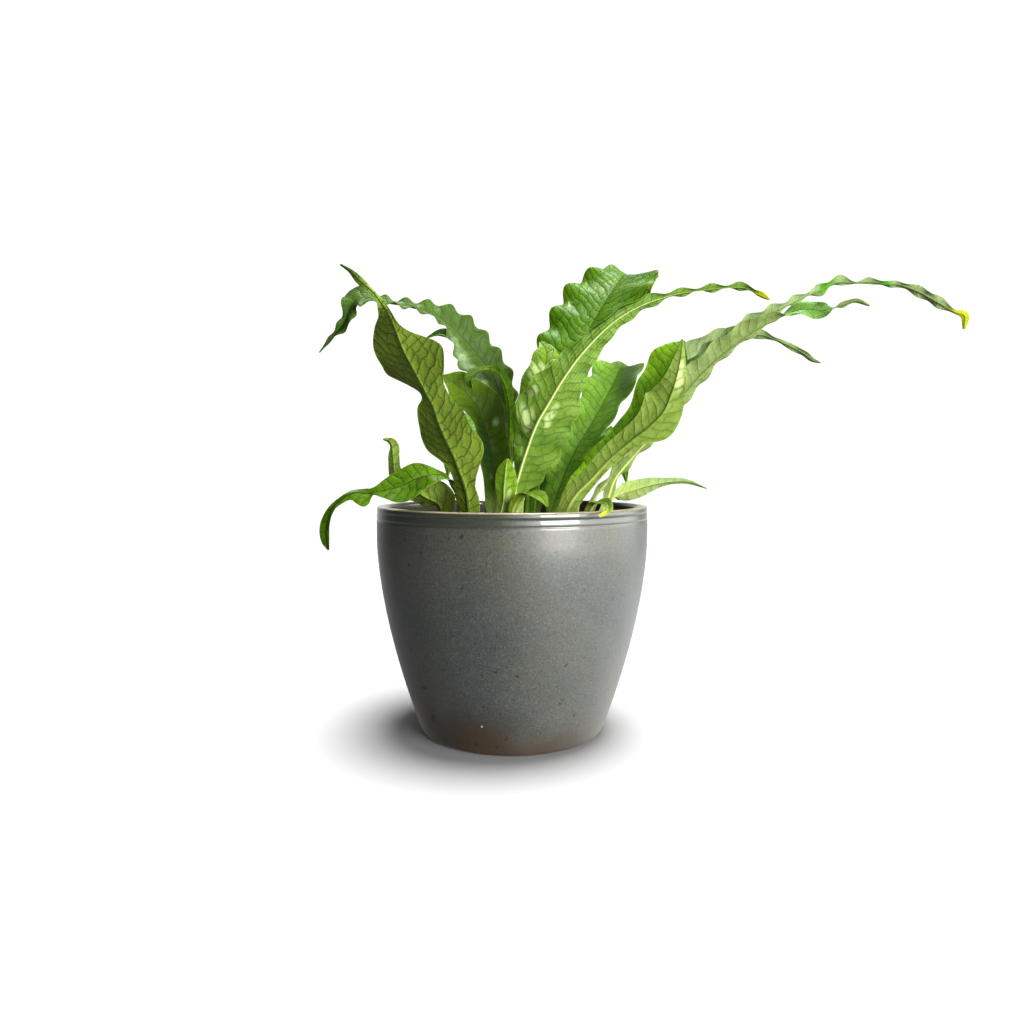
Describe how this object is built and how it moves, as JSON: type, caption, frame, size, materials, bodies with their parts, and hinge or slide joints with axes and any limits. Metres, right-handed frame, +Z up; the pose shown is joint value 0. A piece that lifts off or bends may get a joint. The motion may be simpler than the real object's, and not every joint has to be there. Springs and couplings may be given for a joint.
{
  "type": "potted crocodile fern",
  "caption": "Crocodile fern with quilted, wavy-edged strap fronds growing from a creeping rhizome in a soil-filled glazed stoneware pot; stands on a flat base.",
  "frame": {"origin": "middle of the pot's flat underside", "axes": "+Z up along the pot's axis, +X to the side the longest frond reaches, -Y the side seen in the picture"},
  "size_m": [0.4444, 0.3077, 0.3486],
  "materials": {
    "pot": "gloss",
    "soil": "matte",
    "rhizome": "matte",
    "frond": "satin"
  },
  "bodies": {
    "root": {"pot": "pot", "soil": "soil", "rhizome": "rhizome", "frond_left_arch": "frond", "frond_left_front": "frond", "frond_left_low": "frond", "frond_left_curl": "frond", "frond_left_dark": "frond", "frond_left_back": "frond", "frond_left_curled_tip": "frond", "frond_centre_front": "frond", "frond_centre_lime": "frond", "frond_centre_tall": "frond", "frond_centre_back": "frond", "frond_right_front": "frond", "frond_right_broad": "frond", "frond_right_long": "frond", "frond_right_fork": "frond", "frond_right_behind": "frond", "frond_right_low": "frond", "frond_young_left": "frond", "frond_young_front": "frond", "frond_young_rim": "frond", "frond_back_left": "frond", "frond_back_middle": "frond", "frond_back_right": "frond"}
  },
  "joints": []
}
